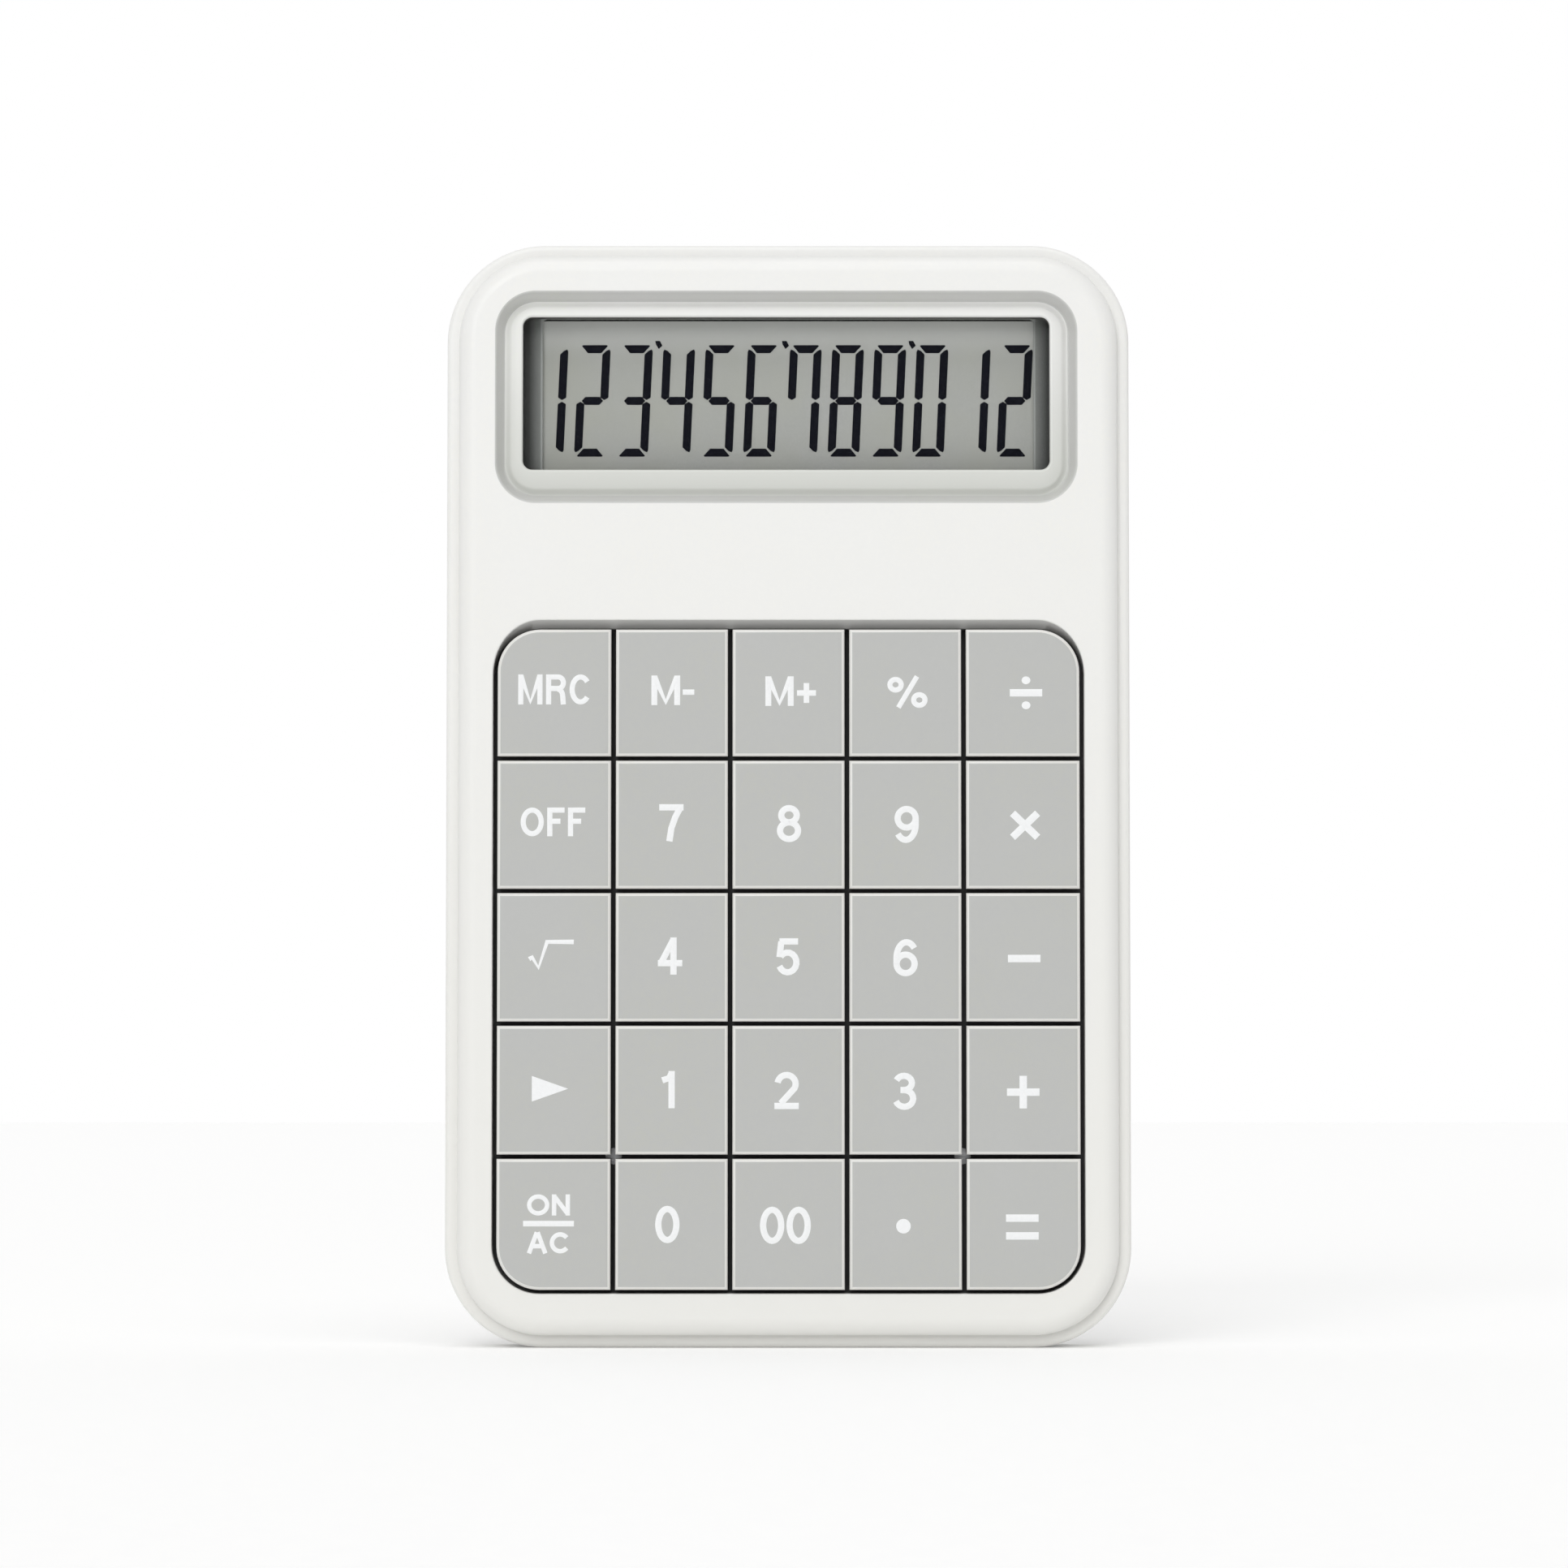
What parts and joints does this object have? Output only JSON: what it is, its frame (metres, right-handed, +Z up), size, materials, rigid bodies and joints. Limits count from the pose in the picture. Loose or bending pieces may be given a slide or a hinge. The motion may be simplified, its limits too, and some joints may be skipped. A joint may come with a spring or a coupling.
{
  "type": "pocket calculator",
  "caption": "Pocket calculator with a wide segment display in a sloped recess, a grid of flat grey keys in one opening, and a coin-turned battery cover on its back.",
  "frame": {"origin": "middle of the bottom edge that it stands on, centred across the width and the thickness", "axes": "+Z up the length towards the display, +X to the right as the keys are read, -Y out of the keys, +Y out of the back"},
  "size_m": [0.074, 0.0126, 0.1194],
  "materials": {
    "case_plastic": "satin moulded, off-white",
    "key_plastic": "satin moulded, light grey",
    "clear_lens": "clear",
    "display_frame": "matt black",
    "lcd_film": "grey reflective film",
    "lcd_glass": "clear",
    "contact_rubber": "striped conductive rubber",
    "guide_plastic": "moulded grey",
    "dome_rubber": "translucent silicone",
    "circuit_board": "solder resist over copper",
    "resin": "glossy black resin",
    "ceramic": "fired ceramic",
    "cell_nickel": "brushed nickel plate",
    "spring_metal": "plated spring strip",
    "screw_steel": "zinc plated",
    "foot_rubber": "matt rubber"
  },
  "bodies": {
    "case": {"rear_case": "case_plastic", "front_case": "case_plastic", "display_lens": "clear_lens", "lcd_frame": "display_frame", "lcd_film": "lcd_film", "lcd_glass": "lcd_glass", "zebra_strip": "contact_rubber", "key_guide": "guide_plastic", "dome_mat": "dome_rubber", "main_board": "circuit_board", "controller_cap": "resin", "capacitor_1": "ceramic", "capacitor_2": "ceramic", "resistor": "resin", "button_cell": "cell_nickel", "contact_plus": "spring_metal", "contact_minus": "spring_metal", "case_screw_1": "screw_steel", "case_screw_2": "screw_steel", "case_screw_3": "screw_steel", "case_screw_4": "screw_steel", "board_screw_1": "screw_steel", "board_screw_2": "screw_steel", "foot_1": "foot_rubber", "foot_2": "foot_rubber", "foot_3": "foot_rubber", "foot_4": "foot_rubber"},
    "key_recall_cap": {"key_recall": "key_plastic"},
    "key_memory_minus_cap": {"key_memory_minus": "key_plastic"},
    "key_memory_plus_cap": {"key_memory_plus": "key_plastic"},
    "key_percent_cap": {"key_percent": "key_plastic"},
    "key_divide_cap": {"key_divide": "key_plastic"},
    "key_off_cap": {"key_off": "key_plastic"},
    "key_7_cap": {"key_7": "key_plastic"},
    "key_8_cap": {"key_8": "key_plastic"},
    "key_9_cap": {"key_9": "key_plastic"},
    "key_multiply_cap": {"key_multiply": "key_plastic"},
    "key_root_cap": {"key_root": "key_plastic"},
    "key_4_cap": {"key_4": "key_plastic"},
    "key_5_cap": {"key_5": "key_plastic"},
    "key_6_cap": {"key_6": "key_plastic"},
    "key_subtract_cap": {"key_subtract": "key_plastic"},
    "key_backspace_cap": {"key_backspace": "key_plastic"},
    "key_1_cap": {"key_1": "key_plastic"},
    "key_2_cap": {"key_2": "key_plastic"},
    "key_3_cap": {"key_3": "key_plastic"},
    "key_add_cap": {"key_add": "key_plastic"},
    "key_on_clear_cap": {"key_on_clear": "key_plastic"},
    "key_0_cap": {"key_0": "key_plastic"},
    "key_00_cap": {"key_00": "key_plastic"},
    "key_point_cap": {"key_point": "key_plastic"},
    "key_equals_cap": {"key_equals": "key_plastic"},
    "cover": {"battery_cover": "case_plastic"}
  },
  "joints": [
    {"name": "key_recall_press", "type": "slide", "parent": "case", "child": "key_recall_cap", "axis": [0, 1, 0], "range_m": [0, 0.0012], "stiffness_N_per_m": 500, "springref_m": -0.0003, "deforming": ["dome_mat"]},
    {"name": "key_memory_minus_press", "type": "slide", "parent": "case", "child": "key_memory_minus_cap", "axis": [0, 1, 0], "range_m": [0, 0.0012], "stiffness_N_per_m": 500, "springref_m": -0.0003, "deforming": ["dome_mat"]},
    {"name": "key_memory_plus_press", "type": "slide", "parent": "case", "child": "key_memory_plus_cap", "axis": [0, 1, 0], "range_m": [0, 0.0012], "stiffness_N_per_m": 500, "springref_m": -0.0003, "deforming": ["dome_mat"]},
    {"name": "key_percent_press", "type": "slide", "parent": "case", "child": "key_percent_cap", "axis": [0, 1, 0], "range_m": [0, 0.0012], "stiffness_N_per_m": 500, "springref_m": -0.0003, "deforming": ["dome_mat"]},
    {"name": "key_divide_press", "type": "slide", "parent": "case", "child": "key_divide_cap", "axis": [0, 1, 0], "range_m": [0, 0.0012], "stiffness_N_per_m": 500, "springref_m": -0.0003, "deforming": ["dome_mat"]},
    {"name": "key_off_press", "type": "slide", "parent": "case", "child": "key_off_cap", "axis": [0, 1, 0], "range_m": [0, 0.0012], "stiffness_N_per_m": 500, "springref_m": -0.0003, "deforming": ["dome_mat"]},
    {"name": "key_7_press", "type": "slide", "parent": "case", "child": "key_7_cap", "axis": [0, 1, 0], "range_m": [0, 0.0012], "stiffness_N_per_m": 500, "springref_m": -0.0003, "deforming": ["dome_mat"]},
    {"name": "key_8_press", "type": "slide", "parent": "case", "child": "key_8_cap", "axis": [0, 1, 0], "range_m": [0, 0.0012], "stiffness_N_per_m": 500, "springref_m": -0.0003, "deforming": ["dome_mat"]},
    {"name": "key_9_press", "type": "slide", "parent": "case", "child": "key_9_cap", "axis": [0, 1, 0], "range_m": [0, 0.0012], "stiffness_N_per_m": 500, "springref_m": -0.0003, "deforming": ["dome_mat"]},
    {"name": "key_multiply_press", "type": "slide", "parent": "case", "child": "key_multiply_cap", "axis": [0, 1, 0], "range_m": [0, 0.0012], "stiffness_N_per_m": 500, "springref_m": -0.0003, "deforming": ["dome_mat"]},
    {"name": "key_root_press", "type": "slide", "parent": "case", "child": "key_root_cap", "axis": [0, 1, 0], "range_m": [0, 0.0012], "stiffness_N_per_m": 500, "springref_m": -0.0003, "deforming": ["dome_mat"]},
    {"name": "key_4_press", "type": "slide", "parent": "case", "child": "key_4_cap", "axis": [0, 1, 0], "range_m": [0, 0.0012], "stiffness_N_per_m": 500, "springref_m": -0.0003, "deforming": ["dome_mat"]},
    {"name": "key_5_press", "type": "slide", "parent": "case", "child": "key_5_cap", "axis": [0, 1, 0], "range_m": [0, 0.0012], "stiffness_N_per_m": 500, "springref_m": -0.0003, "deforming": ["dome_mat"]},
    {"name": "key_6_press", "type": "slide", "parent": "case", "child": "key_6_cap", "axis": [0, 1, 0], "range_m": [0, 0.0012], "stiffness_N_per_m": 500, "springref_m": -0.0003, "deforming": ["dome_mat"]},
    {"name": "key_subtract_press", "type": "slide", "parent": "case", "child": "key_subtract_cap", "axis": [0, 1, 0], "range_m": [0, 0.0012], "stiffness_N_per_m": 500, "springref_m": -0.0003, "deforming": ["dome_mat"]},
    {"name": "key_backspace_press", "type": "slide", "parent": "case", "child": "key_backspace_cap", "axis": [0, 1, 0], "range_m": [0, 0.0012], "stiffness_N_per_m": 500, "springref_m": -0.0003, "deforming": ["dome_mat"]},
    {"name": "key_1_press", "type": "slide", "parent": "case", "child": "key_1_cap", "axis": [0, 1, 0], "range_m": [0, 0.0012], "stiffness_N_per_m": 500, "springref_m": -0.0003, "deforming": ["dome_mat"]},
    {"name": "key_2_press", "type": "slide", "parent": "case", "child": "key_2_cap", "axis": [0, 1, 0], "range_m": [0, 0.0012], "stiffness_N_per_m": 500, "springref_m": -0.0003, "deforming": ["dome_mat"]},
    {"name": "key_3_press", "type": "slide", "parent": "case", "child": "key_3_cap", "axis": [0, 1, 0], "range_m": [0, 0.0012], "stiffness_N_per_m": 500, "springref_m": -0.0003, "deforming": ["dome_mat"]},
    {"name": "key_add_press", "type": "slide", "parent": "case", "child": "key_add_cap", "axis": [0, 1, 0], "range_m": [0, 0.0012], "stiffness_N_per_m": 500, "springref_m": -0.0003, "deforming": ["dome_mat"]},
    {"name": "key_on_clear_press", "type": "slide", "parent": "case", "child": "key_on_clear_cap", "axis": [0, 1, 0], "range_m": [0, 0.0012], "stiffness_N_per_m": 500, "springref_m": -0.0003, "deforming": ["dome_mat"]},
    {"name": "key_0_press", "type": "slide", "parent": "case", "child": "key_0_cap", "axis": [0, 1, 0], "range_m": [0, 0.0012], "stiffness_N_per_m": 500, "springref_m": -0.0003, "deforming": ["dome_mat"]},
    {"name": "key_00_press", "type": "slide", "parent": "case", "child": "key_00_cap", "axis": [0, 1, 0], "range_m": [0, 0.0012], "stiffness_N_per_m": 500, "springref_m": -0.0003, "deforming": ["dome_mat"]},
    {"name": "key_point_press", "type": "slide", "parent": "case", "child": "key_point_cap", "axis": [0, 1, 0], "range_m": [0, 0.0012], "stiffness_N_per_m": 500, "springref_m": -0.0003, "deforming": ["dome_mat"]},
    {"name": "key_equals_press", "type": "slide", "parent": "case", "child": "key_equals_cap", "axis": [0, 1, 0], "range_m": [0, 0.0012], "stiffness_N_per_m": 500, "springref_m": -0.0003, "deforming": ["dome_mat"]},
    {"name": "battery_cover_turn", "type": "hinge", "parent": "case", "child": "cover", "pos_m": [0.012, 0.005, 0.103], "axis": [0, 1, 0], "range_deg": [0, 45]}
  ]
}
